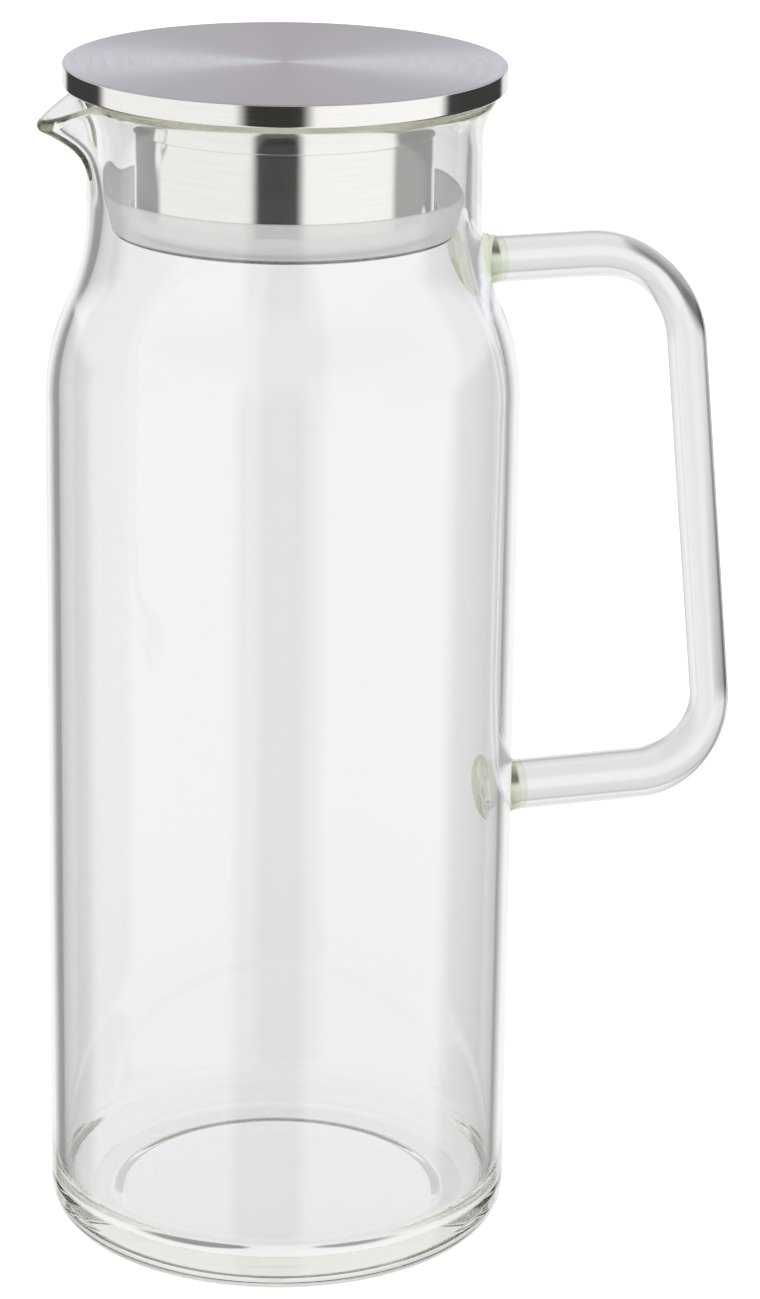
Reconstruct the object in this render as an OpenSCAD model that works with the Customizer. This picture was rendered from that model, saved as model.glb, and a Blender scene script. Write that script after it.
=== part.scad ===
// Glass pitcher with a steel lid.
// A blown glass body with a pulled spout, a bent glass rod for a handle that two gathers of
// glass fuse to the body, and a hollow steel lid whose drum carries a silicone seal in the neck.
// The body's axis is Z, the table is at zero, the handle is on +X and the spout on -X.

/* [Glass body] */
// Outer diameter of the body
body_d = 100; // [94:1:120]
// Height of the rim above the table
rim_h = 251.6; // [225:0.2:300]
// Wall of the body
body_wall = 2.8; // [2:0.1:4]
// Outer diameter of the neck
neck_d = 82.4; // [74:0.2:88]
// Wall of the neck
neck_wall = 3.3; // [2.4:0.1:4]
// Height of the neck, from the top of the shoulder to the rim
neck_h = 26; // [25:0.5:32]
// Height of the shoulder
shoulder_h = 40; // [28:1:55]

/* [Glass base] */
// Thickness of the glass floor over the foot
floor_t = 7; // [4:0.5:10]
// Outer radius of the base's corner
base_corner_r = 7.6; // [5:0.2:10]
// Radius of the corner inside, between floor and wall
floor_corner_r = 8; // [4:0.5:12]
// Width of the flat foot ring
foot_w = 6; // [3:0.5:10]
// Depth of the hollow inside the foot ring
punt_depth = 1.4; // [0.6:0.1:2.5]

/* [Rim and spout] */
// Outer diameter of the rim
rim_d = 87.6; // [84:0.2:94]
// Wall at the rim, which the flame has rounded over
rim_wall = 2.8; // [2:0.1:3.6]
// Height of the shaped lip below the rim
lip_h = 24; // [20:0.5:24.5]
// Reach of the spout beyond the rim
spout_reach = 8.8; // [5:0.2:14]
// Half the angle that the spout takes of the rim
spout_half_angle = 20; // [14:0.5:30]
// Drop of the spout's tip below the rim
spout_drop = 4.4; // [1:0.2:7]

/* [Handle] */
// Diameter of the rod along the upper arm
upper_arm_d = 10; // [7:0.2:12]
// Diameter of the rod halfway round the upper bend, where it was drawn thin
upper_bend_d = 8.2; // [7:0.2:11]
// Diameter of the rod at the grip
grip_d = 8.6; // [7:0.2:11]
// Diameter of the rod along the lower arm
lower_arm_d = 11.2; // [7:0.2:13]
// Depth of the upper arm's axis below the rim
upper_arm_drop = 39.2; // [34:0.2:48]
// Height of the lower arm's axis above the table
lower_arm_h = 93.6; // [70:0.2:120]
// Reach of the upper corner beyond the body's wall
upper_reach = 39; // [33:0.5:50]
// Reach of the lower corner beyond the body's wall
lower_reach = 51; // [40:0.5:62]
// Radius of the rod's axis in the upper bend
upper_bend_r = 22.5; // [14:0.5:26]
// Radius of the rod's axis in the lower bend
lower_bend_r = 16.5; // [12:0.5:24]
// Length of the glass gather between the body's wall and the rod
gather_len = 5; // [3:0.2:7]
// Radius of the gather's flare onto the body
gather_flare_r = 8.6; // [7.5:0.2:11]

/* [Lid] */
// Reach of the lid's disc beyond the rim
cap_overhang = 2.2; // [1:0.1:5]
// Height of the lid's disc
cap_h = 4.8; // [4:0.1:8]
// Sheet thickness of the disc and its underplate
cap_sheet = 0.8; // [0.5:0.1:1.2]
// Radius of the disc's upper edge
cap_edge_r = 0.35; // [0.2:0.05:1]
// Radius of the hem that turns in under the disc
cap_hem_r = 0.5; // [0.4:0.1:1.5]
// Outer diameter of the drum in the neck
drum_d = 62.4; // [56:0.2:66]
// Sheet thickness of the drum
drum_sheet = 0.6; // [0.4:0.1:1]
// Radius of the drum's lower corner
drum_corner_r = 0.9; // [0.7:0.1:1.5]
// Depth of the drum's floor below the disc
drum_depth = 28.9; // [26:0.1:36]
// Height of the band round the top of the drum
band_h = 7.5; // [4:0.5:10]
// Thickness of the band round the top of the drum
band_sheet = 0.5; // [0.4:0.1:1]
// Thickness of the plate under the drum
plate_t = 0.8; // [0.6:0.1:1.5]

/* [Seal] */
// Height of the seal
seal_h = 7.8; // [6:0.1:10]
// Thickness of the lip
lip_t = 1.3; // [0.9:0.1:1.8]
// How far the lip spreads outwards from its foot to its edge
lip_spread = 1.7; // [0.5:0.1:2.5]
// Thickness of the web under the trough
web_t = 1.6; // [1:0.1:2.4]
// Height of the sleeve that grips the drum
sleeve_h = 3.6; // [2.6:0.1:5]
// Thickness of the sleeve that grips the drum
sleeve_t = 1; // [0.7:0.1:1.6]

/* [Hidden] */
$fn = 96;

// Clearances
lid_gap = 0.3;      // the resting disc over the rim
seal_gap = 0.3;     // the lip in the neck, all round
bore_gap = 0.08;    // the sleeve round the drum, all round
seat_gap = 0.1;     // the seal's foot over the plate
sheet_gap = 0.05;   // one steel sheet inside another
lip_tuck = 0.05;    // the shaped lip inside the turned neck where they join
overrun = 0.5;      // how far a joined or cutting solid runs past the face it meets

gather_reach_share = 0.97;  // of its flare's quarter round, what a gather has before it meets the body
hem_angle = 35;             // where the disc's turned-in edge ends, short of level

// Steps of the round stretches
arc_steps = 12;
corner_steps = 6;
spout_columns = 32;
plain_columns = 48;
lip_rows = 10;
rim_rows = 6;
bend_rings = 12;
rod_sides = 24;

body_r = body_d / 2;
neck_r = neck_d / 2;
shoulder_top = rim_h - neck_h;
shoulder_foot = shoulder_top - shoulder_h;
lip_foot = rim_h - lip_h;
foot_r = body_r - base_corner_r;

upper_arm_z = rim_h - upper_arm_drop;
upper_corner_x = body_r + upper_reach;
lower_corner_x = body_r + lower_reach;
grip_lean = atan((lower_corner_x - upper_corner_x) / (upper_arm_z - lower_arm_h));
upper_bend_x = upper_corner_x - upper_bend_r * tan((90 - grip_lean) / 2);
lower_bend_x = lower_corner_x - lower_bend_r * tan((90 + grip_lean) / 2);
upper_root_x = outer_r(upper_arm_z) + gather_len;
lower_root_x = body_r + gather_len;

cap_r = rim_d / 2 + cap_overhang;
cap_foot = rim_h + lid_gap;
cap_top = cap_foot + cap_h;
drum_r = drum_d / 2;
drum_foot = cap_foot - drum_depth;
lip_r = neck_r - neck_wall - seal_gap;
seal_foot_r = lip_r - lip_spread;
plate_r = seal_foot_r - lip_t / 2;
seal_bore_r = drum_r + bore_gap;

// Points of an arc about c, in steps from angle a to angle b
function arc(c, r, a, b, steps) =
    [for (i = [0 : steps]) let (t = a + (b - a) * i / steps) c + r * [cos(t), sin(t)]];

function reverse(list) = [for (i = [len(list) - 1 : -1 : 0]) list[i]];

// Two equal arcs that meet halfway: from radius r1 at height z1 in to radius r2 at height z2
function shoulder(r1, z1, r2, z2) =
    let (turn = 2 * atan((r1 - r2) / (z2 - z1)), r = (z2 - z1) / (2 * sin(turn)))
    concat(arc([r1 - r, z1], r, 0, turn, arc_steps),
           reverse(arc([r2 + r, z2], r, 180, 180 + turn * (arc_steps - 1) / arc_steps, arc_steps - 1)));

// Outer radius of the body at a height on the shoulder
function outer_r(z) =
    let (fall = body_r - neck_r, turn = 2 * atan(fall / shoulder_h), r = shoulder_h / (2 * sin(turn)),
         up = min(max(z - shoulder_foot, 0), shoulder_h), down = shoulder_h - up)
    up < shoulder_h / 2 ? body_r - r + sqrt(r * r - up * up) : neck_r + r - sqrt(r * r - down * down);

outer_outline = concat(
    [[0, punt_depth], [foot_r - foot_w - punt_depth, punt_depth], [foot_r - foot_w, 0]],
    arc([foot_r, base_corner_r], base_corner_r, -90, 0, corner_steps),
    shoulder(body_r, shoulder_foot, neck_r, shoulder_top));

inner_outline = concat(
    [[0, floor_t]],
    arc([body_r - body_wall - floor_corner_r, floor_t + floor_corner_r], floor_corner_r, -90, 0, corner_steps),
    shoulder(body_r - body_wall, shoulder_foot, neck_r - neck_wall, shoulder_top));

// The turned part of the body, up to the shaped lip, without and with its hollow
module turned_outside() {
    rotate_extrude() polygon(concat(outer_outline, [[neck_r, lip_foot], [0, lip_foot]]));
}

module turned_body() {
    rotate_extrude() polygon(concat(outer_outline, [[neck_r, lip_foot], [neck_r - neck_wall, lip_foot]],
                                    reverse(inner_outline)));
}

// The lip is a skin with a wall laid on both sides of it along its normal. A column of the skin stands
// at angle a from the spout's middle, and t runs from 0 at the lip's foot to 1 at the rim.
skin_r = neck_r - neck_wall / 2;
rim_flare = (rim_d - rim_wall) / 2 - skin_r;
flare_start_share = 0.6;
spout_curve = 2.6;      // the spout leaves the neck as this power of the height
spout_point = 4;        // the higher, the narrower the spout's tip

function spout_share(a) = abs(a) < spout_half_angle ? pow(cos(90 * a / spout_half_angle), spout_point) : 0;
function flare_share(t) = pow(max(0, t - flare_start_share) / (1 - flare_start_share), 2);
function skin_top(a) = rim_h - rim_wall / 2 - spout_drop * spout_share(a);
function skin(a, t) =
    let (r = skin_r + rim_flare * flare_share(t) + spout_reach * spout_share(a) * pow(max(0, t), spout_curve))
    [-r * cos(a), -r * sin(a), lip_foot + (skin_top(a) - lip_foot) * t];

probe_angle = 0.2;
probe_share = 0.004;
function unit(v) = v / norm(v);
function rise(a, t) = unit(skin(a, t) - skin(a, t - probe_share));
function outward(a, t) = unit(cross(skin(a + probe_angle, t) - skin(a - probe_angle, t), rise(a, t)));
function half_wall(t) = neck_wall / 2 - lip_tuck * (1 - t) + (rim_wall - neck_wall) / 2 * t;

// One column, from the foot up the outside, over the rounded rim and down the inside
function lip_column(a) = concat(
    [skin(a, 0) + outward(a, 0) * half_wall(0) - [0, 0, overrun]],
    [for (i = [1 : lip_rows]) skin(a, i / lip_rows) + outward(a, i / lip_rows) * half_wall(i / lip_rows)],
    [for (i = [1 : rim_rows - 1]) let (b = 180 * i / rim_rows)
        skin(a, 1) + (outward(a, 1) * cos(b) + rise(a, 1) * sin(b)) * half_wall(1)],
    [for (i = [lip_rows : -1 : 1]) skin(a, i / lip_rows) - outward(a, i / lip_rows) * half_wall(i / lip_rows)],
    [skin(a, 0) - outward(a, 0) * half_wall(0) - [0, 0, overrun]]);

// The columns stand closer together round the spout
spout_zone_share = 1.2;
spout_zone = spout_half_angle * spout_zone_share;
lip_angles = concat(
    [for (i = [0 : spout_columns - 1]) -spout_zone + 2 * spout_zone * i / spout_columns],
    [for (i = [0 : plain_columns - 1]) spout_zone + (360 - 2 * spout_zone) * i / plain_columns]);

// Angles past a half turn are read from the other side, so that the spout has two like sides
function turned(a) = a > 180 ? a - 360 : a;

module shaped_lip() {
    columns = [for (a = lip_angles) lip_column(turned(a))];
    n = len(columns);
    m = len(columns[0]);
    points = [for (column = columns) each column];
    faces = [for (i = [0 : n - 1], j = [0 : m - 1])
        let (k = (i + 1) % n, l = (j + 1) % m, p = i * m + j, q = k * m + j, r = k * m + l, s = i * m + l)
        each [[p, s, r], [p, r, q]]];
    polyhedron(points, faces);
}

module jug_body() {
    color([0.86, 0.92, 0.90, 0.45]) union() {
        turned_body();
        shaped_lip();
    }
}

// The rod is one skin swept along its axis in the XZ plane. A ring is the centre, the angle in that
// plane from X to the outer side of the bends, and the diameter, which eases from one size to the next.
function eased(a, b, share) = a + (b - a) * (1 - cos(180 * share)) / 2;
function rod_bend(centre, r, from, to, sizes) = [for (i = [0 : bend_rings])
    let (a = from + (to - from) * i / bend_rings, share = i / bend_rings * (len(sizes) - 1),
         k = min(floor(share), len(sizes) - 2))
    [centre + r * [cos(a), sin(a)], a, eased(sizes[k], sizes[k + 1], share - k)]];

rod_rings = concat(
    [[[upper_root_x, upper_arm_z], 90, upper_arm_d]],
    rod_bend([upper_bend_x, upper_arm_z - upper_bend_r], upper_bend_r, 90, grip_lean,
             [upper_arm_d, upper_bend_d, grip_d]),
    rod_bend([lower_bend_x, lower_arm_h + lower_bend_r], lower_bend_r, grip_lean, -90, [grip_d, lower_arm_d]),
    [[[lower_root_x, lower_arm_h], -90, lower_arm_d]]);

function ring_points(ring) = [for (j = [0 : rod_sides - 1]) let (b = 360 * j / rod_sides, r = ring[2] / 2)
    [ring[0][0] + r * cos(b) * cos(ring[1]), r * sin(b), ring[0][1] + r * cos(b) * sin(ring[1])]];

module handle_rod() {
    n = len(rod_rings);
    points = [for (ring = rod_rings) each ring_points(ring)];
    sides = [for (i = [0 : n - 2], j = [0 : rod_sides - 1])
        let (k = (j + 1) % rod_sides, p = i * rod_sides)
        each [[p + j, p + k, p + rod_sides + k], [p + j, p + rod_sides + k, p + rod_sides + j]]];
    first = [for (j = [rod_sides - 1 : -1 : 0]) j];
    last = [for (j = [0 : rod_sides - 1]) (n - 1) * rod_sides + j];
    color([0.88, 0.93, 0.93, 0.45]) polyhedron(points, concat(sides, [first, last]));
}

// A gather flares from the rod's end onto the body, which it follows face to face
module gather(root_x, z, rod_d) {
    reach = min(root_x - neck_r, gather_flare_r) * gather_reach_share;
    sweep = asin(reach / gather_flare_r);
    difference() {
        translate([root_x, 0, z]) rotate([0, -90, 0]) rotate_extrude()
            polygon(concat([[0, 0]],
                           arc([rod_d / 2 + gather_flare_r, 0], gather_flare_r, 180, 180 - sweep, corner_steps),
                           [[0, gather_flare_r * sin(sweep)]]));
        turned_outside();
    }
}

module upper_gather() {
    color([0.80, 0.88, 0.74, 0.6]) gather(upper_root_x, upper_arm_z, upper_arm_d);
}

module lower_gather() {
    color([0.80, 0.88, 0.74, 0.6]) gather(lower_root_x, lower_arm_h, lower_arm_d);
}

// The disc is a cup of sheet, open below, with its edge turned in
module lid_cap() {
    inner_r = cap_r - cap_sheet;
    color([0.72, 0.71, 0.72]) rotate_extrude() polygon(concat(
        [[0, cap_top]],
        arc([cap_r - cap_edge_r, cap_top - cap_edge_r], cap_edge_r, 90, 0, corner_steps),
        arc([cap_r - cap_hem_r, cap_foot + cap_hem_r], cap_hem_r, 0, -90 + hem_angle, corner_steps),
        [[inner_r, cap_foot + cap_hem_r * (1 - cos(hem_angle))],
         [inner_r, cap_top - cap_sheet], [0, cap_top - cap_sheet]]));
}

// The plate that closes the disc from below carries the drum round its hole
module lid_underplate() {
    color([0.66, 0.66, 0.67]) translate([0, 0, cap_foot]) difference() {
        cylinder(h = cap_sheet, r = cap_r - cap_sheet - sheet_gap);
        translate([0, 0, -overrun]) cylinder(h = cap_sheet + 2 * overrun, r = drum_r - drum_sheet);
    }
}

module lid_band() {
    color([0.80, 0.80, 0.79]) translate([0, 0, cap_foot - band_h]) difference() {
        cylinder(h = band_h, r = drum_r + sheet_gap + band_sheet);
        translate([0, 0, -overrun]) cylinder(h = band_h + 2 * overrun, r = drum_r + sheet_gap);
    }
}

// The drum is deep drawn: a thin cup with a closed floor
module lid_drum() {
    inner_r = drum_r - drum_sheet;
    inner_corner_r = drum_corner_r - drum_sheet;
    color([0.82, 0.82, 0.80]) rotate_extrude() polygon(concat(
        [[0, drum_foot]],
        arc([drum_r - drum_corner_r, drum_foot + drum_corner_r], drum_corner_r, -90, 0, corner_steps),
        [[drum_r, cap_foot], [inner_r, cap_foot]],
        arc([inner_r - inner_corner_r, drum_foot + drum_corner_r], inner_corner_r, 0, -90, corner_steps),
        [[0, drum_foot + drum_sheet]]));
}

// The plate under the drum is wider than it and keeps the seal on
module seal_plate() {
    edge_r = plate_t / 2;
    color([0.70, 0.70, 0.70]) rotate_extrude() polygon(concat(
        [[0, drum_foot - plate_t]],
        arc([plate_r - edge_r, drum_foot - edge_r], edge_r, -90, 90, corner_steps),
        [[0, drum_foot]]));
}

// A sleeve on the drum, a web, and a lip that spreads upwards to the neck's wall
module seal_ring() {
    foot = drum_foot + seat_gap;
    crown = lip_t / 2;
    trough = foot + web_t;
    color([0.90, 0.90, 0.87, 0.85]) rotate_extrude() polygon(concat(
        [[seal_bore_r, foot], [seal_foot_r, foot]],
        arc([lip_r - crown, foot + seal_h - crown], crown, 0, 180, corner_steps),
        [[seal_foot_r - lip_t, trough], [seal_bore_r + sleeve_t, trough],
         [seal_bore_r + sleeve_t, foot + sleeve_h], [seal_bore_r, foot + sleeve_h]]));
}

jug_body();
handle_rod();
upper_gather();
lower_gather();
lid_cap();
lid_underplate();
lid_band();
lid_drum();
seal_plate();
seal_ring();
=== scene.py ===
import math

import bpy
import numpy as np
from mathutils import Matrix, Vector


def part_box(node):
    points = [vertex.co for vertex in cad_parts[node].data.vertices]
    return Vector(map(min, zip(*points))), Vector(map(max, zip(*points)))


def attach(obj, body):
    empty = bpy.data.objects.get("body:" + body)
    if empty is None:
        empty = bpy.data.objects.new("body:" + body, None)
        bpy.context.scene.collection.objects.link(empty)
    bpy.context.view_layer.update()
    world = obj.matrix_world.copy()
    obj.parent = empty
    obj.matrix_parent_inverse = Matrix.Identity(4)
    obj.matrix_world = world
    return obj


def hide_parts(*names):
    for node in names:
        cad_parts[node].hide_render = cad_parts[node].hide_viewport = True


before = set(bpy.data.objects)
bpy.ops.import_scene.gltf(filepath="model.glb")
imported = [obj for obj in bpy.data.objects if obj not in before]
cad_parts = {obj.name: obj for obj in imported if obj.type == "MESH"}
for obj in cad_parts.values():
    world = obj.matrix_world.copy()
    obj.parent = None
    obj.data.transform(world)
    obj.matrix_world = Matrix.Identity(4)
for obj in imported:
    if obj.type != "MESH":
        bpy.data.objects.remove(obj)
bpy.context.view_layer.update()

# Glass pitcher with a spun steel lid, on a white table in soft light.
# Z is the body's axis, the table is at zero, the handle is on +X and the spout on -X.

mm = 0.001
scene = bpy.context.scene

# Camera

photoCamera = {
    "frameHeight": 1299,        # pixels
    "focalLength": 4623,        # pixels, from a fit to the outline
    "filmHeight": 36.0,         # mm
    "turn": -18.0,              # degrees, about the body's axis
    "pitch": 17.93,             # degrees, downwards
    "roll": 0.82,               # degrees
    "place": (21.2 * mm, -943.6 * mm, 435.0 * mm),   # before the turn
    "nearest": 10 * mm,         # it sees nothing closer than this
}


def makeCamera(look):
    data = bpy.data.cameras.new("photoCamera")
    data.sensor_fit = "VERTICAL"
    data.sensor_height = look["filmHeight"]
    data.lens = look["focalLength"] / look["frameHeight"] * look["filmHeight"]
    data.clip_start = look["nearest"]
    camera = bpy.data.objects.new("photoCamera", data)
    scene.collection.objects.link(camera)
    camera.matrix_world = (
        Matrix.Rotation(math.radians(look["turn"]), 4, "Z")
        @ Matrix.Translation(look["place"])
        @ Matrix.Rotation(math.radians(90 - look["pitch"]), 4, "X")
        @ Matrix.Rotation(math.radians(look["roll"]), 4, "Z"))
    scene.camera = camera


makeCamera(photoCamera)
print("camera placed")

# Mesh helpers

cornerHold = 0.3 * mm           # points this far from a rounded corner keep the flat beside it flat


# Six times the volume inside closed faces, by triangles from each face's first corner. It is below
# zero where the faces are inside out.
def sixVolumes(points, loops, starts, sizes):
    total = 0.0
    for size in (3, 4):
        faces = loops[starts[sizes == size][:, None] + np.arange(size)]
        for k in range(1, size - 1):
            a, b, c = points[faces[:, 0]], points[faces[:, k]], points[faces[:, k + 1]]
            total += np.einsum("ij,ij->", a, np.cross(b, c))
    return total


# Skins rows of points. Rows run along a profile and columns run round it, and the columns close on
# themselves. With closed the last row joins the first, as on a ring, and otherwise the first and
# last rows must be poles, with all their points in one place, and turn into single vertices.
# uv: u is the share of the way round, v the share of the way along the profile.
def skinMesh(name, rows, closed=False):
    count, columns = rows.shape[:2]
    nextColumn = (np.arange(columns) + 1) % columns
    if closed:
        points = rows.reshape(-1, 3)
        low = np.arange(count)[:, None] * columns
        high = (low + columns) % (count * columns)
    else:
        middle = rows[1:-1].reshape(-1, 3)
        points = np.vstack([middle, rows[0, :1], rows[-1, :1]])
        low = np.arange(count - 3)[:, None] * columns
        high = low + columns
    here = np.arange(columns)[None, :]
    there = nextColumn[None, :]
    quads = np.stack([low + here, low + there, high + there, high + here], -1).reshape(-1, 4)
    step = np.arange(len(low)) + (0 if closed else 1)
    left, right = here / columns, (here + 1) / columns
    v0 = (step[:, None] / count) + 0 * left
    v1 = ((step[:, None] + 1) / count) + 0 * left
    quadUv = np.stack([np.broadcast_to(a, v0.shape) for a in (left, right, right, left)], -1)
    quadUv = np.stack([quadUv, np.stack([v0, v0, v1, v1], -1)], -1).reshape(-1, 2)
    loops, uv, sizes = quads.ravel(), quadUv, np.full(len(quads), 4)
    if not closed:
        first = np.full(columns, len(middle))
        startFan = np.stack([first, nextColumn, np.arange(columns)], -1)
        top = (count - 3) * columns
        endFan = np.stack([first + 1, top + np.arange(columns), top + nextColumn], -1)
        mid, left, right = (left + right).ravel() / 2, left.ravel(), right.ravel()
        zero, one = np.zeros(columns), np.ones(columns)
        startUv = np.stack([mid, zero, right, one / count, left, one / count], -1)
        last = one * (count - 1) / count
        endUv = np.stack([mid, one, left, last, right, last], -1)
        loops = np.concatenate([loops, startFan.ravel(), endFan.ravel()])
        uv = np.vstack([uv, startUv.reshape(-1, 2), endUv.reshape(-1, 2)])
        sizes = np.concatenate([sizes, np.full(2 * columns, 3)])
    starts = np.concatenate([[0], np.cumsum(sizes)[:-1]])
    if sixVolumes(points, loops, starts, sizes) < 0:
        order = np.concatenate([s + np.arange(n)[::-1] for s, n in zip(starts, sizes)])
        loops, uv = loops[order], uv[order]

    mesh = bpy.data.meshes.new(name)
    mesh.vertices.add(len(points))
    mesh.vertices.foreach_set("co", points.astype(np.float32).ravel())
    mesh.loops.add(len(loops))
    mesh.loops.foreach_set("vertex_index", loops.astype(np.int32))
    mesh.polygons.add(len(sizes))
    mesh.polygons.foreach_set("loop_start", starts.astype(np.int32))
    mesh.update(calc_edges=True)
    mesh.validate()
    layer = mesh.uv_layers.new(name="round")
    layer.data.foreach_set("uv", uv.astype(np.float32).ravel())
    mesh.polygons.foreach_set("use_smooth", np.ones(len(sizes), bool))
    piece = bpy.data.objects.new(name, mesh)
    scene.collection.objects.link(piece)
    return piece


# Turns a profile of (radius, height) points about Z
def turnedRows(profile, columns):
    angle = np.linspace(0, 2 * math.pi, columns, endpoint=False)[None, :]
    r, z = profile[:, :1], profile[:, 1:]
    return np.stack([r * np.cos(angle), r * np.sin(angle), z + 0 * angle], -1)


# Points on an arc about a centre, from one angle to another in degrees
def arc(centre, radius, start, stop, steps):
    angle = np.radians(np.linspace(start, stop, steps + 1))
    return np.stack([centre[0] + radius * np.cos(angle), centre[1] + radius * np.sin(angle)], -1)


# Rounds the corners of a profile. Each corner is (r, z, radius), and a radius of zero stays sharp.
def roundedProfile(corners, closed=False, steps=6):
    corners = np.array(corners, float)
    path = []
    for i, (r, z, radius) in enumerate(corners):
        here = np.array([r, z])
        ends = not closed and i in (0, len(corners) - 1)
        if ends or radius == 0:
            path.append(here[None])
            continue
        back = corners[i - 1, :2] - here
        ahead = corners[(i + 1) % len(corners), :2] - here
        backLength, aheadLength = np.linalg.norm(back), np.linalg.norm(ahead)
        back, ahead = back / backLength, ahead / aheadLength
        half = math.acos(np.clip(back @ ahead, -1, 1)) / 2
        reach = radius / math.tan(half)
        middle = back + ahead
        centre = here + middle / np.linalg.norm(middle) * radius / math.sin(half)
        fromPoint, toPoint = here + back * reach, here + ahead * reach
        a = math.atan2(*(fromPoint - centre)[::-1])
        b = math.atan2(*(toPoint - centre)[::-1])
        b += 2 * math.pi * round((a - b) / (2 * math.pi))
        path.append((fromPoint + back * min(cornerHold, (backLength - reach) / 3))[None])
        path.append(arc(centre, radius, math.degrees(a), math.degrees(b), steps))
        path.append((toPoint + ahead * min(cornerHold, (aheadLength - reach) / 3))[None])
    return np.vstack(path)


# Puts points between those of a profile, so that none lie further apart than the step. The first
# two columns are the place, and any others are spread with it.
def filledProfile(profile, step):
    parts = [profile[:1]]
    for a, b in zip(profile[:-1], profile[1:]):
        count = max(1, math.ceil(np.linalg.norm(b[:2] - a[:2]) / step))
        share = np.arange(1, count + 1)[:, None] / count
        parts.append(a + (b - a) * share)
    return np.vstack(parts)


# With a choice, the faces whose centres it picks take the second material
def paintPiece(piece, *materials, choice=None):
    for material in materials:
        piece.data.materials.append(material)
    if choice:
        centres = np.zeros(len(piece.data.polygons) * 3)
        piece.data.polygons.foreach_get("center", centres)
        picked = choice(*centres.reshape(-1, 3).T)
        piece.data.polygons.foreach_set("material_index", picked.astype(np.int32))
    return piece


# Clear pieces let the lamps and the table's own light through, so that the table under them is as
# white as the rest
def finishPiece(piece, body, node, clear=False):
    piece.visible_shadow = not clear
    piece.visible_diffuse = not clear
    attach(piece, body)
    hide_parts(node)
    print(piece.name, len(piece.data.polygons), "faces")


# Material helpers

noiseRange = (0.3, 0.7)         # where a noise texture keeps most of the time


# sRGB hex to linear colour with alpha
def linearColour(text):
    value = np.array([int(text[i:i + 2], 16) for i in (1, 3, 5)]) / 255
    linear = np.where(value <= 0.04045, value / 12.92, ((value + 0.055) / 1.055) ** 2.4)
    return (*linear.tolist(), 1.0)


# Adds a node. A socket gets a link where the value is another node's output, and else the value.
def addNode(tree, kind, sockets, **settings):
    node = tree.nodes.new(kind)
    for name, value in settings.items():
        setattr(node, name, value)
    for name, value in sockets.items():
        if isinstance(value, bpy.types.NodeSocket):
            tree.links.new(value, node.inputs[name])
        else:
            node.inputs[name].default_value = value
    return node


def objectPlace(tree):
    return addNode(tree, "ShaderNodeTexCoord", {}).outputs["Object"]


def combined(tree, operation, first, second, **settings):
    return addNode(tree, "ShaderNodeMath", {0: first, 1: second},
                   operation=operation, **settings).outputs[0]


def combinedVectors(tree, operation, *values, output=0):
    return addNode(tree, "ShaderNodeVectorMath", dict(enumerate(values)),
                   operation=operation).outputs[output]


def noiseOf(tree, place, scale, detail=2.0, roughness=0.5):
    return addNode(tree, "ShaderNodeTexNoise",
                   {"Vector": place, "Scale": scale, "Detail": detail,
                    "Roughness": roughness}).outputs["Fac"]


def bumpOf(tree, height, depth, strength=1.0):
    return addNode(tree, "ShaderNodeBump",
                   {"Height": height, "Strength": strength, "Distance": depth}).outputs["Normal"]


# Roughness that goes up and down with a noise, by a share of itself
def unevenRoughness(tree, noise, roughness, share):
    low, high = roughness * (1 - share), roughness * (1 + share)
    return addNode(tree, "ShaderNodeMapRange",
                   {"Value": noise, "From Min": noiseRange[0], "From Max": noiseRange[1],
                    "To Min": low, "To Max": high}).outputs[0]


def mixedColour(tree, share, first, second):
    mix = addNode(tree, "ShaderNodeMix", {"Factor": share}, data_type="RGBA")
    colours = [socket for socket in mix.inputs if socket.type == "RGBA"]
    for socket, value in zip(colours, (first, second)):
        if isinstance(value, bpy.types.NodeSocket):
            tree.links.new(value, socket)
        else:
            socket.default_value = value
    return [socket for socket in mix.outputs if socket.type == "RGBA"][0]


def newMaterial(name):
    material = bpy.data.materials.new(name)
    material.use_nodes = True
    material.node_tree.nodes.clear()
    return material, material.node_tree


# Lines that run round the body's axis, as spinning and polishing leave them. The place is the unit
# vector from the axis, times how often a line changes on its way round, plus the distance across
# the lines over their spacing, so that the pattern has no seam.
def roundLines(tree, look):
    place, often = objectPlace(tree), look["changes"]
    flat = combinedVectors(tree, "MULTIPLY", place, (1, 1, 0))
    unit = combinedVectors(tree, "NORMALIZE", flat)
    if look["along"] == "top":
        across = combinedVectors(tree, "LENGTH", flat, output="Value")
    else:
        across = addNode(tree, "ShaderNodeSeparateXYZ", {0: place}).outputs["Z"]
    lift = addNode(tree, "ShaderNodeCombineXYZ", {"Z": across}).outputs[0]
    lines = combinedVectors(tree, "MULTIPLY", lift, (0, 0, 1 / look["spacing"]))
    spot = combinedVectors(tree, "MULTIPLY_ADD", unit, (often, often, often), lines)
    return noiseOf(tree, spot, 1.0, detail=3.0, roughness=0.6)


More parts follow.
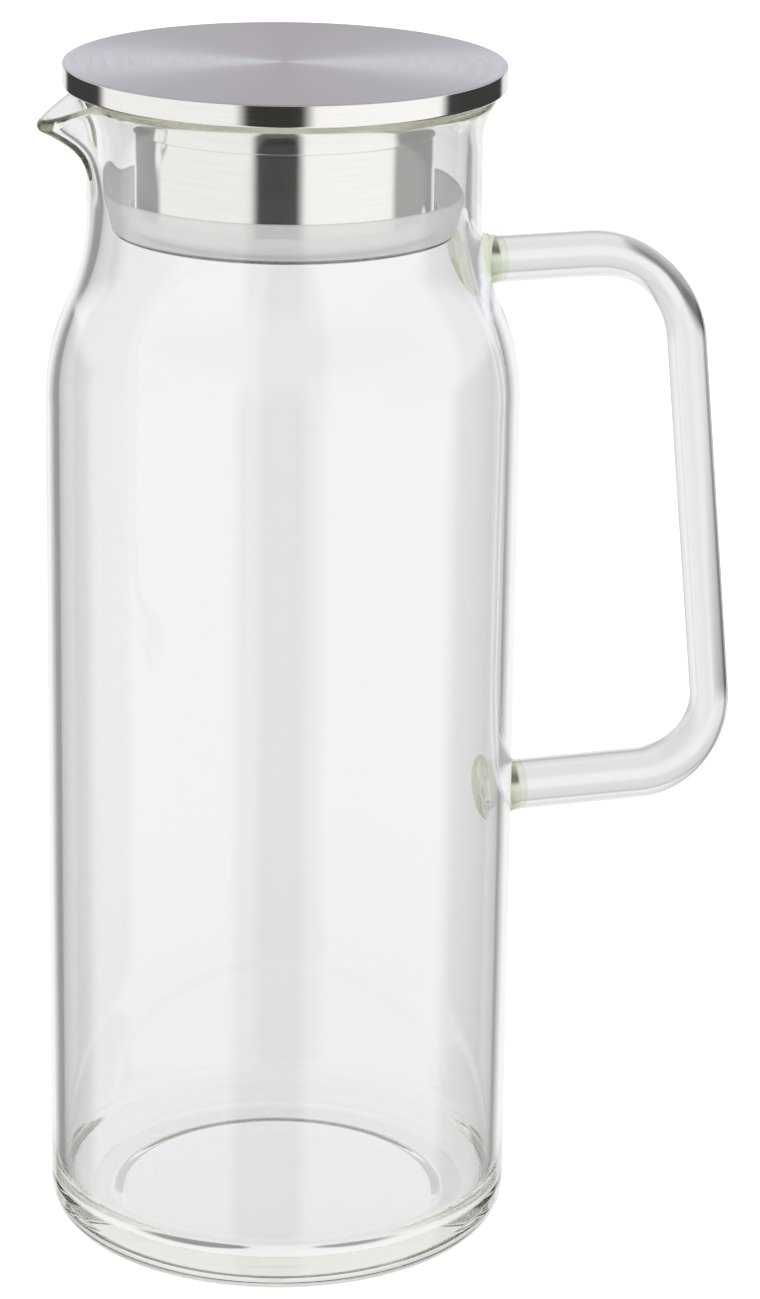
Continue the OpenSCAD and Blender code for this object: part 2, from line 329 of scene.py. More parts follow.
# Borosilicate glass, blown and fire polished: mirror smooth, with slow waves in its surface. The
# body's green-grey tint shows only where the eye looks along the glass, and the handle's is in its
# surface. Where two pieces are fused, light goes straight from one into the other, so those faces
# have an alpha of zero.
def blownGlass(name, look, fused=False):
    material, tree = newMaterial(name)
    waves = noiseOf(tree, objectPlace(tree), 1 / look["waveLength"], detail=1.0)
    surface = linearColour(look["surface"])
    if "cloud" in look:
        surface = mixedColour(tree, waves, surface, linearColour(look["cloud"]))
    shader = addNode(tree, "ShaderNodeBsdfPrincipled", {
        "Base Color": surface, "Roughness": look["roughness"], "IOR": look["ior"],
        "Transmission Weight": 1.0, "Alpha": 0.0 if fused else 1.0,
        "Normal": bumpOf(tree, waves, look["waveHeight"])})
    output = addNode(tree, "ShaderNodeOutputMaterial", {"Surface": shader.outputs[0]})
    if "tint" in look:
        tint = addNode(tree, "ShaderNodeVolumeAbsorption",
                       {"Color": linearColour(look["tint"]), "Density": look["density"]})
        tree.links.new(tint.outputs[0], output.inputs["Volume"])
    return material


# Stainless steel sheet with the marks of its finish running round it. They stretch the reflections
# across themselves, and their depth and the roughness change a little from line to line.
def roundSteel(name, look):
    material, tree = newMaterial(name)
    lines = roundLines(tree, look)
    shade = mixedColour(tree, lines, linearColour(look["dark"]), linearColour(look["light"]))
    tangent = addNode(tree, "ShaderNodeTangent", {}, direction_type="UV_MAP", uv_map="round")
    shader = addNode(tree, "ShaderNodeBsdfPrincipled", {
        "Base Color": shade, "Metallic": 1.0,
        "Roughness": unevenRoughness(tree, lines, look["roughness"], share=0.15),
        "Anisotropic": look["stretch"], "Tangent": tangent.outputs[0],
        "Anisotropic Rotation": 0.25,           # a quarter turn, from along the lines to across
        "Normal": bumpOf(tree, lines, look["depth"])})
    addNode(tree, "ShaderNodeOutputMaterial", {"Surface": shader.outputs[0]})
    return material


# Moulded silicone: cloudy white right through, so that light spreads in it, under a satin skin
def cloudySilicone(name, look):
    material, tree = newMaterial(name)
    grain = noiseOf(tree, objectPlace(tree), 1 / look["grain"])
    cloud = mixedColour(tree, grain, linearColour(look["dark"]), linearColour(look["light"]))
    shader = addNode(tree, "ShaderNodeBsdfPrincipled", {
        "Base Color": cloud, "IOR": look["ior"], "Alpha": 1 - look["clear"],
        "Roughness": unevenRoughness(tree, grain, look["roughness"], share=0.1),
        "Coat Weight": look["skin"], "Coat Roughness": look["skinRoughness"],
        "Coat IOR": look["ior"]})
    addNode(tree, "ShaderNodeOutputMaterial", {"Surface": shader.outputs[0]})
    return material


# The tint's density is per metre of glass
borosilicate = {"ior": 1.474, "roughness": 0.0}
bodyLook = {**borosilicate, "surface": "#FFFFFF", "tint": "#DADBCD", "density": 6.5,
            "waveLength": 38 * mm, "waveHeight": 0.05 * mm}
rodLook = {**borosilicate, "surface": "#FBFBFE",
           "waveLength": 14 * mm, "waveHeight": 0.02 * mm}
gatherLook = {**borosilicate, "surface": "#EDF2E0", "cloud": "#D6E0BE",
              "waveLength": 3 * mm, "waveHeight": 0.03 * mm}
bodyGlass = blownGlass("blownBorosilicateGlass", bodyLook)
rodGlass = blownGlass("drawnGlassRod", rodLook)
fusedRodGlass = blownGlass("fusedRodEnd", rodLook, fused=True)
gatherGlass = blownGlass("workedGlassGather", gatherLook)
fusedGatherGlass = blownGlass("fusedGatherEnd", gatherLook, fused=True)
discSteel = roundSteel("spunBrushedSteel", {
    "dark": "#CFCCCE", "light": "#E0DDDF", "roughness": 0.46, "stretch": 0.9, "along": "top",
    "spacing": 0.35 * mm, "changes": 3.0, "depth": 0.004 * mm})
polishedSteel = roundSteel("polishedDrawnSteel", {
    "dark": "#EAE7E3", "light": "#F4F2EF", "roughness": 0.1, "stretch": 0.3, "along": "side",
    "spacing": 0.6 * mm, "changes": 2.0, "depth": 0.0008 * mm})
plateSteel = roundSteel("satinSteelPlate", {
    "dark": "#ADACAD", "light": "#C4C3C4", "roughness": 0.28, "stretch": 0.5, "along": "top",
    "spacing": 0.5 * mm, "changes": 2.0, "depth": 0.002 * mm})
silicone = cloudySilicone("mouldedCloudySilicone", {
    "dark": "#E9EAE7", "light": "#F3F4F1", "roughness": 0.85, "ior": 1.41, "clear": 0.45,
    "skin": 0.4, "skinRoughness": 0.25, "grain": 3 * mm})
print("materials made")

# Glass body

jug = {
    "bodyR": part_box("jug_body")[1].y,       # the body is the widest thing across
    "rimH": 251.6 * mm,
    "bodyWall": 2.8 * mm,
    "neckR": 41.2 * mm,
    "neckWall": 3.3 * mm,
    "neckH": 26 * mm,
    "shoulderH": 40 * mm,
    "floorT": 7 * mm,
    "baseCornerR": 7.6 * mm,
    "floorCornerR": 8 * mm,
    "footW": 6 * mm,
    "puntDepth": 1.4 * mm,
    "rimR": 43.8 * mm,
    "rimWall": 2.8 * mm,
    "lipH": 24 * mm,
    "spoutReach": 8.8 * mm,
    "spoutHalfAngle": 20.0,         # degrees
    "spoutDrop": 4.4 * mm,
    "flareStart": 0.6,              # share of the lip's height below which it doesn't flare
    "spoutCurve": 2.6,              # the spout leaves the neck as this power of the height
    "spoutPoint": 4,                # the higher, the narrower the tip
    "columns": 288,
    "crowding": 0.5,                # how much closer the columns stand at the spout
    "wallStep": 3 * mm,
    "cornerSteps": 14,
    "shoulderSteps": 20,
    "lipRows": 22,
    "rimRows": 10,
    "nudge": 0.003,                 # radians, and share of the lip's height, to find its slopes
}
shoulderTop = jug["rimH"] - jug["neckH"]
shoulderFoot = shoulderTop - jug["shoulderH"]
lipFoot = jug["rimH"] - jug["lipH"]


# Two equal arcs that meet halfway, from one radius up and in to another: their turn and radius
def shoulderBend(lowR, highR):
    turn = 2 * math.atan((lowR - highR) / jug["shoulderH"])
    return turn, jug["shoulderH"] / (2 * math.sin(turn))


def shoulderArcs(lowR, highR):
    turn, radius = shoulderBend(lowR, highR)
    degrees, steps = math.degrees(turn), jug["shoulderSteps"]
    lower = arc((lowR - radius, shoulderFoot), radius, 0, degrees, steps)
    upper = arc((highR + radius, shoulderTop), radius, 180 + degrees, 180, steps)
    return np.vstack([lower, upper[1:]])


# The lip's middle skin at angle a from the spout's middle and share t of its height, both arrays.
# Its radius is the neck's, plus a flare that grows as a square, plus a spout that grows as a power
# of the height and falls off sideways as a power of a cosine. Its top edge dips at the spout.
def lipSkin(a, t):
    half = math.radians(jug["spoutHalfAngle"])
    fallOff = np.where(np.abs(a) < half, np.cos(np.clip(a / half, -1, 1) * math.pi / 2), 0)
    side = fallOff ** jug["spoutPoint"]
    flare = (np.maximum(0, t - jug["flareStart"]) / (1 - jug["flareStart"])) ** 2
    skinR = jug["neckR"] - jug["neckWall"] / 2
    rimFlare = jug["rimR"] - jug["rimWall"] / 2 - skinR
    spout = jug["spoutReach"] * side * np.maximum(0, t) ** jug["spoutCurve"]
    r = skinR + rimFlare * flare + spout
    top = jug["rimH"] - jug["rimWall"] / 2 - jug["spoutDrop"] * side
    return np.stack([-r * np.cos(a), -r * np.sin(a), lipFoot + (top - lipFoot) * t], -1)


def unitVectors(v):
    return v / np.linalg.norm(v, axis=-1, keepdims=True)


def outerProfile():
    cornerR, punt = jug["baseCornerR"], jug["puntDepth"]
    footR, puntEdgeR = jug["bodyR"] - cornerR, 2 * punt
    footInner = footR - jug["footW"]
    foot = roundedProfile([(0, punt, 0), (footInner - puntEdgeR, punt, puntEdgeR),
                           (footInner, 0, puntEdgeR), (footR, 0, 0)])
    corner = arc((footR, cornerR), cornerR, -90, 0, jug["cornerSteps"])
    return np.vstack([foot, corner[1:], shoulderArcs(jug["bodyR"], jug["neckR"]),
                      [[jug["neckR"], lipFoot]]])


def innerProfile():
    wall, neckInner = jug["bodyR"] - jug["bodyWall"], jug["neckR"] - jug["neckWall"]
    floor, cornerR = jug["floorT"], jug["floorCornerR"]
    corner = arc((wall - cornerR, floor + cornerR), cornerR, -90, 0, jug["cornerSteps"])
    return np.vstack([[[0, floor]], corner, shoulderArcs(wall, neckInner), [[neckInner, lipFoot]]])


def makeJugBody():
    around = np.linspace(0, 2 * math.pi, jug["columns"], endpoint=False)
    around = (around - jug["crowding"] * np.sin(around) + math.pi) % (2 * math.pi) - math.pi
    turn = np.stack([-np.cos(around), -np.sin(around)], -1)

    def rowsOf(profile):
        profile = filledProfile(profile, jug["wallStep"])
        ring = profile[:, :1, None] * turn[None]
        height = np.broadcast_to(profile[:, 1, None, None], (*ring.shape[:2], 1))
        return np.concatenate([ring, height], -1)

    a, nudge = around[None, :], jug["nudge"]
    t = (np.arange(1, jug["lipRows"] + 1) / jug["lipRows"])[:, None]
    rise = unitVectors(lipSkin(a, t) - lipSkin(a, t - nudge))
    outward = unitVectors(np.cross(lipSkin(a + nudge, t) - lipSkin(a - nudge, t), rise))
    half = (jug["neckWall"] / 2 + (jug["rimWall"] - jug["neckWall"]) / 2 * t)[..., None]
    skin = lipSkin(a + 0 * t, t + 0 * a)
    b = (np.arange(1, jug["rimRows"]) / jug["rimRows"] * math.pi)[:, None, None]
    rim = skin[-1:] + (outward[-1:] * np.cos(b) + rise[-1:] * np.sin(b)) * half[-1:]
    rows = np.concatenate([rowsOf(outerProfile()), skin + outward * half, rim,
                           (skin - outward * half)[::-1], rowsOf(innerProfile())[::-1]])
    return paintPiece(skinMesh("jugBody", rows), bodyGlass)


finishPiece(makeJugBody(), "jug", "jug_body", clear=True)

# Handle

rod = {
    "upperArmD": 10 * mm,
    "upperBendD": 8.2 * mm,
    "gripD": 8.6 * mm,
    "lowerArmD": 11.2 * mm,
    "upperArmZ": jug["rimH"] - 39.2 * mm,
    "lowerArmZ": 93.6 * mm,
    "upperCornerX": jug["bodyR"] + 39 * mm,
    "lowerCornerX": jug["bodyR"] + 51 * mm,
    "upperBendR": 22.5 * mm,
    "lowerBendR": 16.5 * mm,
    "gatherLength": 5 * mm,
    "gatherFlareR": 8.6 * mm,
    "sides": 72,
    "bendStep": 0.4 * mm,           # between rings on the bends
    "straightStep": 2.4 * mm,
    "flareRows": 20,
    "halvings": 40,                 # of the flare, to find where it meets the body
    "endShares": (0.5, 0.9),        # the rings on a flat end, as shares of its radius
    "seatShares": (0.9, 0.75, 0.6, 0.45, 0.3, 0.15),    # and on a gather's face to the body
    "fuseGap": 0.02 * mm,           # between glass pieces that are fused on the real pitcher
    "crispEnd": 0.02 * mm,          # rings this close to an edge keep it crisp in the shading
    "flatEnd": 0.0025 * mm,         # faces whose centres lie this close to an end belong to it
}


# The body's outer radius at a height, on the wall, the shoulder's two arcs or the neck
def bodyRadius(z):
    radius = shoulderBend(jug["bodyR"], jug["neckR"])[1]
    up = np.clip(z - shoulderFoot, 0, jug["shoulderH"])
    down = jug["shoulderH"] - up
    lower = jug["bodyR"] - radius + np.sqrt(radius ** 2 - np.minimum(up, radius) ** 2)
    upper = jug["neckR"] + radius - np.sqrt(radius ** 2 - np.minimum(down, radius) ** 2)
    return np.where(up < jug["shoulderH"] / 2, lower, upper)


# Eases from one value to the next as a cosine, over shares that are spread evenly along the list
def easedValues(values, share):
    place = share * (len(values) - 1)
    k = np.minimum(place.astype(int), len(values) - 2)
    values = np.array(values)
    return values[k] + (values[k + 1] - values[k]) * (1 - np.cos(math.pi * (place - k))) / 2


upperRootX = float(bodyRadius(np.array(rod["upperArmZ"]))) + rod["gatherLength"]
lowerRootX = jug["bodyR"] + rod["gatherLength"]


# The rod's axis from root to root in the XZ plane: rings of x, z, the outward angle, the diameter
def rodRings():
    lean = math.atan2(rod["lowerCornerX"] - rod["upperCornerX"],
                      rod["upperArmZ"] - rod["lowerArmZ"])
    leanAngle, upperR, lowerR = math.degrees(lean), rod["upperBendR"], rod["lowerBendR"]
    upperX = rod["upperCornerX"] - upperR * math.tan((math.pi / 2 - lean) / 2)
    lowerX = rod["lowerCornerX"] - lowerR * math.tan((math.pi / 2 + lean) / 2)

    def bend(x, z, radius, start, stop, sizes):
        steps = math.ceil(radius * math.radians(start - stop) / rod["bendStep"])
        share = np.linspace(0, 1, steps + 1)
        spots = arc((x, z), radius, start, stop, steps)
        angle = np.radians(start + (stop - start) * share)
        return np.column_stack([spots, angle, easedValues(sizes, share)])

    upper = bend(upperX, rod["upperArmZ"] - upperR, upperR, 90, leanAngle,
                 [rod["upperArmD"], rod["upperBendD"], rod["gripD"]])
    lower = bend(lowerX, rod["lowerArmZ"] + lowerR, lowerR, leanAngle, -90,
                 [rod["gripD"], rod["lowerArmD"]])
    start = np.array([[upperRootX + rod["fuseGap"], rod["upperArmZ"], math.pi / 2,
                       rod["upperArmD"]]])
    stop = np.array([[lowerRootX + rod["fuseGap"], rod["lowerArmZ"], -math.pi / 2,
                      rod["lowerArmD"]]])
    inward = np.array([[rod["crispEnd"], 0, 0, 0]])
    rings = np.vstack([start + inward, upper, lower, stop + inward])
    return np.vstack([start, filledProfile(rings, rod["straightStep"]), stop])


# A ring's points: the centre, plus the radius times a cosine outwards in the bend's plane and times
# a sine across it
def ringRows(rings):
    b = np.linspace(0, 2 * math.pi, rod["sides"], endpoint=False)[None, :]
    x, z, angle, r = rings[:, 0:1], rings[:, 1:2], rings[:, 2:3], rings[:, 3:4] / 2
    outward = r * np.cos(b)
    return np.stack([x + outward * np.cos(angle), r * np.sin(b), z + outward * np.sin(angle)], -1)


def makeHandleRod():
    rings = rodRings()
    ends = []
    for ring in (rings[0], rings[-1]):
        shares = (0, *rod["endShares"], 1)
        smaller = np.repeat(ring[None], len(shares), axis=0)
        smaller[:, 3] *= shares
        smaller[-1, 3] -= 2 * rod["crispEnd"]
        ends.append(smaller)
    piece = skinMesh("handleRod", ringRows(np.vstack([ends[0], rings, ends[1][::-1]])))
    half = (rod["upperArmZ"] + rod["lowerArmZ"]) / 2
    reach = rod["fuseGap"] + rod["flatEnd"]
    return paintPiece(piece, rodGlass, fusedRodGlass, choice=lambda x, y, z:
                      x < np.where(z > half, upperRootX, lowerRootX) + reach)


# A gather flares from the rod's end as a quarter circle does, and stops where it meets the body,
# whose surface it follows. Where they meet is found by halving the stretch of flare that it is on.
def makeGather(name, rootX, armZ, rodD):
    b = np.linspace(0, 2 * math.pi, rod["sides"], endpoint=False)
    flareR, crisp = rod["gatherFlareR"], rod["crispEnd"] / (rodD / 2)

    def flarePoint(distance):
        radius = rodD / 2 + flareR - np.sqrt(flareR ** 2 - distance ** 2)
        return np.stack([rootX - distance, radius * np.sin(b), armZ + radius * np.cos(b)], -1)

    near, far = np.zeros(len(b)), np.full(len(b), flareR * 0.999)   # at flareR it would run level
    for _ in range(rod["halvings"]):
        middle = (near + far) / 2
        x, y, z = flarePoint(middle).T
        outside = np.hypot(x, y) > bodyRadius(z) + rod["fuseGap"]
        near, far = np.where(outside, middle, near), np.where(outside, far, middle)
    start, edge = flarePoint(np.zeros(len(b))), flarePoint(near)
    centre = np.array([rootX, 0, armZ])
    rows = []
    for share in (0, *rod["endShares"], 1 - crisp):
        rows.append(centre + (start - centre) * share)
    for share in (0, crisp, *np.linspace(0, 1, rod["flareRows"])[1:-1], 1 - crisp, 1):
        rows.append(flarePoint(near * share))
    for share in (1 - crisp, *rod["seatShares"], 0):
        y, z = edge[:, 1] * share, armZ + (edge[:, 2] - armZ) * share
        rows.append(np.stack([np.sqrt((bodyRadius(z) + rod["fuseGap"]) ** 2 - y ** 2), y, z], -1))
    return paintPiece(skinMesh(name, np.stack(rows)), gatherGlass, fusedGatherGlass,
                      choice=lambda x, y, z: x > rootX - rod["flatEnd"])


finishPiece(makeHandleRod(), "jug", "handle_rod", clear=True)
finishPiece(makeGather("upperGather", upperRootX, rod["upperArmZ"], rod["upperArmD"]),
            "jug", "upper_gather", clear=True)
finishPiece(makeGather("lowerGather", lowerRootX, rod["lowerArmZ"], rod["lowerArmD"]),
            "jug", "lower_gather", clear=True)

# Lid

capLow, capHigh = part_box("lid_cap")
plateLow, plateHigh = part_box("lid_underplate")
bandLow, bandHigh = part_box("lid_band")
drumLow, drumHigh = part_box("lid_drum")
keeperLow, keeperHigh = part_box("seal_plate")
sealLow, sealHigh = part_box("seal_ring")
lid = {
    "capSheet": 0.8 * mm,
    "capEdgeR": 0.35 * mm,
    "polishStart": 0.6,             # share of the edge's radius below the top
    "hemR": 0.5 * mm,
    "hemStop": 35,                  # degrees short of level
    "drumSheet": 0.6 * mm,
    "drumCornerR": 0.9 * mm,
    "bandSheet": 0.5 * mm,
    "edgeR": 0.12 * mm,             # the broken edge of every cut sheet
    "bandEdgeR": 0.24 * mm,
    "keeperRound": 0.98,            # share of half the seal plate's thickness
    "capEdgeSteps": 8,
    "hemSteps": 10,
    "ringEdgeSteps": 4,
    "topStep": 2 * mm,
    "columns": 192,
}


def turnedMesh(name, profile, closed=False):
    return skinMesh(name, turnedRows(profile, lid["columns"]), closed)


def makeLidCap():
    r, top, foot, sheet = capHigh.x, capHigh.z, capLow.z, lid["capSheet"]
    edgeR, hemR = lid["capEdgeR"], lid["hemR"]
    outside = np.vstack([
        [[0, top], [r - edgeR - cornerHold, top]],
        arc((r - edgeR, top - edgeR), edgeR, 90, 0, lid["capEdgeSteps"]),
        [[r, top - edgeR - cornerHold], [r, foot + hemR + cornerHold]],
        arc((r - hemR, foot + hemR), hemR, 0, lid["hemStop"] - 90, lid["hemSteps"])])
    hemZ = outside[-1, 1]
    inside = roundedProfile([(r - sheet, hemZ, 0), (r - sheet, top - sheet, lid["edgeR"]),
                             (0, top - sheet, 0)])
    profile = filledProfile(np.vstack([outside, inside]), lid["topStep"])
    return paintPiece(turnedMesh("lidCap", profile), discSteel, polishedSteel,
                      choice=lambda x, y, z: (np.hypot(x, y) > r - sheet)
                      & (z < top - edgeR * lid["polishStart"]))


def makeLidDrum():
    r, foot, top = drumHigh.x, drumLow.z, drumHigh.z
    sheet, cornerR, edgeR = lid["drumSheet"], lid["drumCornerR"], lid["edgeR"]
    profile = roundedProfile([
        (0, foot, 0), (r, foot, cornerR), (r, top, edgeR), (r - sheet, top, edgeR),
        (r - sheet, foot + sheet, cornerR - sheet), (0, foot + sheet, 0)])
    return paintPiece(turnedMesh("lidDrum", filledProfile(profile, lid["topStep"])), polishedSteel)


def makeSealPlate():
    r, low, high = keeperHigh.x, keeperLow.z, keeperHigh.z
    edgeR = (high - low) / 2 * lid["keeperRound"]
    profile = roundedProfile([(0, low, 0), (r, low, edgeR), (r, high, edgeR), (0, high, 0)])
    return paintPiece(turnedMesh("sealPlate", filledProfile(profile, lid["topStep"])), plateSteel)


def makeFlatRing(name, innerR, outerR, low, high, edgeR, material):
    profile = roundedProfile([(innerR, low, edgeR), (outerR, low, edgeR), (outerR, high, edgeR),
                              (innerR, high, edgeR)], closed=True, steps=lid["ringEdgeSteps"])
    return paintPiece(turnedMesh(name, profile, closed=True), material)


finishPiece(makeLidCap(), "lid", "lid_cap")
finishPiece(makeFlatRing("lidUnderplate", drumHigh.x - lid["drumSheet"], plateHigh.x,
                         plateLow.z, plateHigh.z, lid["edgeR"], plateSteel),
            "lid", "lid_underplate")
finishPiece(makeFlatRing("lidBand", bandHigh.x - lid["bandSheet"], bandHigh.x,
                         bandLow.z, bandHigh.z, lid["bandEdgeR"], polishedSteel),
            "lid", "lid_band")
finishPiece(makeLidDrum(), "lid", "lid_drum")
finishPiece(makeSealPlate(), "lid", "seal_plate")

# Seal

seal = {
    "gap": 0.08 * mm,               # between the drum and the sleeve
    "lipT": 1.3 * mm,
    "lipSteps": 10,
    "lipSpread": 1.7 * mm,
    "webT": 1.6 * mm,
    "sleeveH": 3.6 * mm,
    "sleeveT": 1 * mm,
    "edgeR": 0.3 * mm,
}


def makeSealRing():
    foot, top, lipR, edgeR = sealLow.z, sealHigh.z, sealHigh.x, seal["edgeR"]
    lipT, crown, footR = seal["lipT"], seal["lipT"] / 2, lipR - seal["lipSpread"]
    trough, sleeveTop = foot + seal["webT"], foot + seal["sleeveH"]
    boreR = drumHigh.x + seal["gap"]
    sleeveR = boreR + seal["sleeveT"]
    lipTop = arc((lipR - crown, top - crown), crown, 0, 180, seal["lipSteps"])
    outside = roundedProfile([(boreR, trough, 0), (boreR, foot, edgeR), (footR, foot, edgeR),
                              (*lipTop[0], 0)])
    inside = roundedProfile([(*lipTop[-1], 0), (footR - lipT, trough, edgeR),
                             (sleeveR, trough, edgeR), (sleeveR, sleeveTop, edgeR),
                             (boreR, sleeveTop, edgeR), (boreR, trough, 0)])
    profile = np.vstack([outside[1:-1], lipTop, inside[1:]])
    return paintPiece(turnedMesh("sealRing", profile, closed=True), silicone)


for name in ("lidDrum", "lidBand", "lidUnderplate", "sealPlate"):
    bpy.data.objects[name].visible_diffuse = False      # they don't darken the cloudy silicone

sealRing = makeSealRing()
sealRing.visible_glossy = False     # the polished drum shows the room down to the seal's lip
finishPiece(sealRing, "seal", "seal_ring", clear=True)

# Stage: a white table, a white room that is a little darker overhead, and soft lamps

stage = {
    "floorR": 6.0,
    "floorSides": 96,
    "floor": "#F7F7F6",
    "floorRoughness": 0.8,
    "floorGrain": 2.5 * mm,
    "floorGrainHeight": 0.1 * mm,
    "floorGrainStrength": 0.02,
    "horizon": "#FFFFFF",
    "overhead": "#E6E7EA",
    "overheadRise": (0.2, 0.7),     # each rise is a height, the sine of the angle up from level
    # on the table this darkening is painted shade in its colour, and in the room it is dimmer light
    "throughGlass": 0.75,           # how bright the table and the room are behind glass
    "haze": 0.8,                    # how far light that the glass guides along it is evened out
    "screenRise": (0.0, 0.1),       # where reflections no longer show the screens
    "frontRise": (0.1, 0.6),        # and the same for the screens in front
    "skyBand": "#F4F7FF",           # what reflections see above the screens
    "ceiling": "#C6C3C6",           # and overhead
    "ceilingRise": (0.34, 0.5),
    "sun": 2.0,
    "sunSpread": 80.0,              # degrees
    "bounces": 160,                 # the wall guides light from the rim down to the foot
    "clearBounces": 32,
}

# What reflections see of the room. Each stop is an angle from the camera's side, to the right as
# seen from there, and the light there. Low down stand two white screens with the camera's dark gap
# between them and dark edges beyond, which are paler where they are seen through glass. Those in
# front, where the last list is one, reach higher than the rest.
lowScreens = [(-180, 0.95), (-156, 0.9), (-150, 0.05), (-110, 0.05), (-104, 1.0), (-24, 1.0),
              (-18, 0.04), (10, 0.04), (17, 1.08), (88, 1.08), (94, 0.05), (148, 0.05),
              (154, 0.9), (180, 0.95)]
glassScreens = [(-180, 0.95), (-156, 0.9), (-150, 0.28), (-110, 0.28), (-104, 1.0), (-24, 1.0),
                (-18, 0.03), (10, 0.03), (17, 1.08), (88, 1.08), (94, 0.33), (148, 0.33),
                (154, 0.9), (180, 0.95)]
frontScreens = [(-180, 0.0), (-75, 0.0), (-45, 1.0), (45, 1.0), (75, 0.0), (180, 0.0)]

# The room as a solid rod bends it. The first list goes by the angle round the room as above, where
# the left side of the room lands on the rod's right edge, and the dark gaps at the sides and in
# front draw the rod's edges as they are seen from elsewhere. The second goes by the angle up from
# level, and multiplies it: the table lands on the rod's upper edge, and the far edge of the table
# on its lower one. Low at the back on the left stands something dark, whose own lists go from zero
# beside it to one where it stands.
rodScreens = [(-180, 0.89), (-168, 0.88), (-160, 0.8), (-143, 0.76), (-139, 0.4), (-133, 0.44),
              (-124, 0.8), (-96, 0.92), (-88, 0.45), (-84, 0.45), (-76, 0.92), (-46, 0.92),
              (-40, 0.4), (-36, 0.4), (-28, 0.92), (28, 0.92), (36, 0.4), (40, 0.4), (46, 0.92),
              (76, 0.92), (84, 0.45), (88, 0.45), (96, 0.92), (147, 0.88), (150, 0.76),
              (153, 0.87), (180, 0.89)]
rodHeights = [(-90, 1.0), (-72, 1.0), (-66, 0.62), (-61, 0.58), (-56, 0.8), (-46, 0.93),
              (-38, 0.88), (-28, 0.88), (-22, 1.0), (-12, 1.0), (-7, 0.86), (6, 0.8), (11, 0.62),
              (15, 1.0), (90, 1.0)]
rodDark = {
    "round": [(-180, 0.0), (-176, 0.0), (-171, 1.0), (-130, 1.0), (-122, 0.0), (180, 0.0)],
    "up": [(-90, 0.0), (-58, 0.0), (-50, 0.5), (-38, 0.7), (-31, 1.0), (-24, 1.0), (-17.5, 0.0),
           (90, 0.0)],
    "light": 0.22,
}


# One where the ray has been reflected, or has passed through glass, so many times on its way from
# the camera, and else zero
def rayShare(tree, kind, times=1):
    depth = addNode(tree, "ShaderNodeLightPath", {}).outputs[kind + " Depth"]
    return combined(tree, "GREATER_THAN", depth, times - 0.5)


# One where the ray has gone into a solid piece of glass and out again, straight from the camera
def throughSolid(tree):
    twice = combined(tree, "SUBTRACT", rayShare(tree, "Transmission", 2),
                     rayShare(tree, "Transmission", 3))
    return combined(tree, "SUBTRACT", twice, rayShare(tree, "Glossy"), use_clamp=True)


# A colour as it is, and as it shows through glass. On the table this is painted shade: its colour
# is made darker where it is seen through glass, while in the room it is dimmer light.
def plainColour(tree, text):
    colour = linearColour(text)
    dimmer = (*(c * stage["throughGlass"] for c in colour[:3]), 1.0)
    return mixedColour(tree, rayShare(tree, "Transmission"), colour, dimmer)


# The table. Reflections and the solid rod don't show it, as the room's own lists stand in for it.
# Its colour is painted darker where it is seen through glass, as painted shade.
def makeFloor():
    material, tree = newMaterial("paleTable")
    grain = noiseOf(tree, objectPlace(tree), 1 / stage["floorGrain"])
    shader = addNode(tree, "ShaderNodeBsdfPrincipled", {
        "Base Color": plainColour(tree, stage["floor"]), "Roughness": stage["floorRoughness"],
        "Specular IOR Level": 0.0,
        "Normal": bumpOf(tree, grain, stage["floorGrainHeight"], stage["floorGrainStrength"])})
    hidden = addNode(tree, "ShaderNodeBsdfTransparent", {})
    share = combined(tree, "MAXIMUM", rayShare(tree, "Glossy"), throughSolid(tree))
    both = addNode(tree, "ShaderNodeMixShader",
                   {0: share, 1: shader.outputs[0], 2: hidden.outputs[0]})
    addNode(tree, "ShaderNodeOutputMaterial", {"Surface": both.outputs[0]})
    angle = np.linspace(0, 2 * math.pi, stage["floorSides"], endpoint=False)
    rim = np.stack([np.cos(angle), np.sin(angle), 0 * angle], -1) * stage["floorR"]
    mesh = bpy.data.meshes.new("floor")
    mesh.from_pydata(rim.tolist(), [], [list(range(len(rim)))])
    mesh.materials.append(material)
    floor = bpy.data.objects.new("floor", mesh)
    scene.collection.objects.link(floor)


# Light along a share from zero to one. Each stop is a share and the light there, and the first and
# the last stand at the ends.
def lightRamp(tree, share, stops):
    ramp = addNode(tree, "ShaderNodeValToRGB", {"Fac": share})
    elements = ramp.color_ramp.elements
    elements[1].position = 1.0
    for k, (position, light) in enumerate(stops):
        if k in (0, len(stops) - 1):
            stop = elements[0 if k == 0 else len(elements) - 1]
        else:
            stop = elements.new(position)
        stop.color = (light, light, light, 1)
    return ramp.outputs[0]


# The room by the angle round it, with the camera's side in the middle
def roundRoom(tree, direction, stops):
    turn = math.pi / 2 - math.radians(photoCamera["turn"])
    facing = addNode(tree, "ShaderNodeVectorRotate", {"Vector": direction, "Angle": turn},
                     rotation_type="Z_AXIS").outputs[0]
    share = addNode(tree, "ShaderNodeTexGradient", {"Vector": facing},
                    gradient_type="RADIAL").outputs["Fac"]
    return lightRamp(tree, share, [((angle + 180) / 360, light) for angle, light in stops])


# The room by the angle up from level
def risingRoom(tree, height, stops):
    share = addNode(tree, "ShaderNodeMapRange",
                    {"Value": height, "From Min": -1.0, "From Max": 1.0}).outputs[0]
    stops = [((math.sin(math.radians(angle)) + 1) / 2, light) for angle, light in stops]
    return lightRamp(tree, share, stops)


def makeRodRoom(tree, direction, height):
    room = combined(tree, "MULTIPLY", roundRoom(tree, direction, rodScreens),
                    risingRoom(tree, height, rodHeights))
    dark = combined(tree, "MULTIPLY", roundRoom(tree, direction, rodDark["round"]),
                    risingRoom(tree, height, rodDark["up"]))
    dimmer = addNode(tree, "ShaderNodeMapRange",
                     {"Value": dark, "To Min": 1.0, "To Max": rodDark["light"]}).outputs[0]
    return combined(tree, "MULTIPLY", room, dimmer)


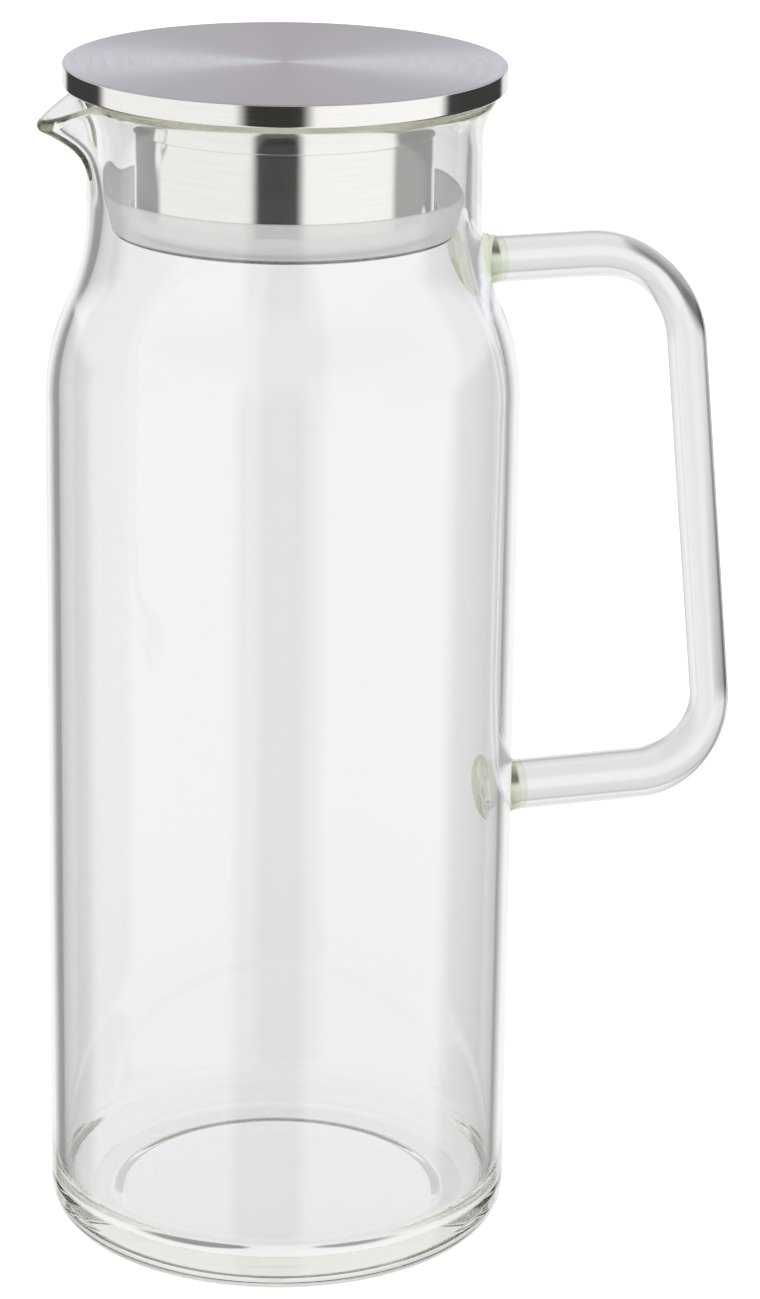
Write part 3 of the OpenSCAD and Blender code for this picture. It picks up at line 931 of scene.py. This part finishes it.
def makeRoom():
    world = bpy.data.worlds.new("whiteRoom")
    scene.world = world
    world.use_nodes = True
    tree = world.node_tree
    tree.nodes.clear()
    direction = addNode(tree, "ShaderNodeTexCoord", {}).outputs["Generated"]
    height = addNode(tree, "ShaderNodeSeparateXYZ", {0: direction}).outputs["Z"]

    # From zero to one over a stretch of height
    def rising(stretch):
        return addNode(tree, "ShaderNodeMapRange",
                       {"Value": height, "From Min": stretch[0], "From Max": stretch[1]},
                       interpolation_type="SMOOTHSTEP").outputs[0]

    plain = mixedColour(tree, rising(stage["overheadRise"]), plainColour(tree, stage["horizon"]),
                        plainColour(tree, stage["overhead"]))
    plain = mixedColour(tree, throughSolid(tree), plain, makeRodRoom(tree, direction, height))
    low = mixedColour(tree, rayShare(tree, "Transmission"), roundRoom(tree, direction, lowScreens),
                      roundRoom(tree, direction, glassScreens))
    above = mixedColour(tree, rising(stage["ceilingRise"]), linearColour(stage["skyBand"]),
                        linearColour(stage["ceiling"]))
    short = mixedColour(tree, rising(stage["screenRise"]), low, above)
    tall = mixedColour(tree, rising(stage["frontRise"]), low, above)
    screens = mixedColour(tree, roundRoom(tree, direction, frontScreens), short, tall)
    guided = combined(tree, "MULTIPLY", rayShare(tree, "Glossy", 2), stage["haze"])
    even = combined(tree, "MAXIMUM", guided, rayShare(tree, "Diffuse"))
    screens = mixedColour(tree, even, screens, linearColour(stage["horizon"]))
    seen = mixedColour(tree, rayShare(tree, "Glossy"), plain, screens)
    light = addNode(tree, "ShaderNodeBackground", {"Color": seen, "Strength": 1.0})
    addNode(tree, "ShaderNodeOutputWorld", {"Surface": light.outputs[0]})
    world.cycles.sampling_method = "NONE"


# A wide sun is an even soft light from above. Reflections don't show it.
def makeSun():
    data = bpy.data.lights.new("softSun", "SUN")
    data.energy = stage["sun"]
    data.angle = math.radians(stage["sunSpread"])
    lamp = bpy.data.objects.new("softSun", data)
    scene.collection.objects.link(lamp)
    lamp.visible_glossy = False
    lamp.visible_transmission = False


makeFloor()
makeRoom()
makeSun()
scene.view_settings.view_transform = "Standard"
scene.cycles.max_bounces = stage["bounces"]
scene.cycles.transmission_bounces = stage["bounces"]
scene.cycles.glossy_bounces = stage["bounces"]
scene.cycles.transparent_max_bounces = stage["clearBounces"]
print("stage made")
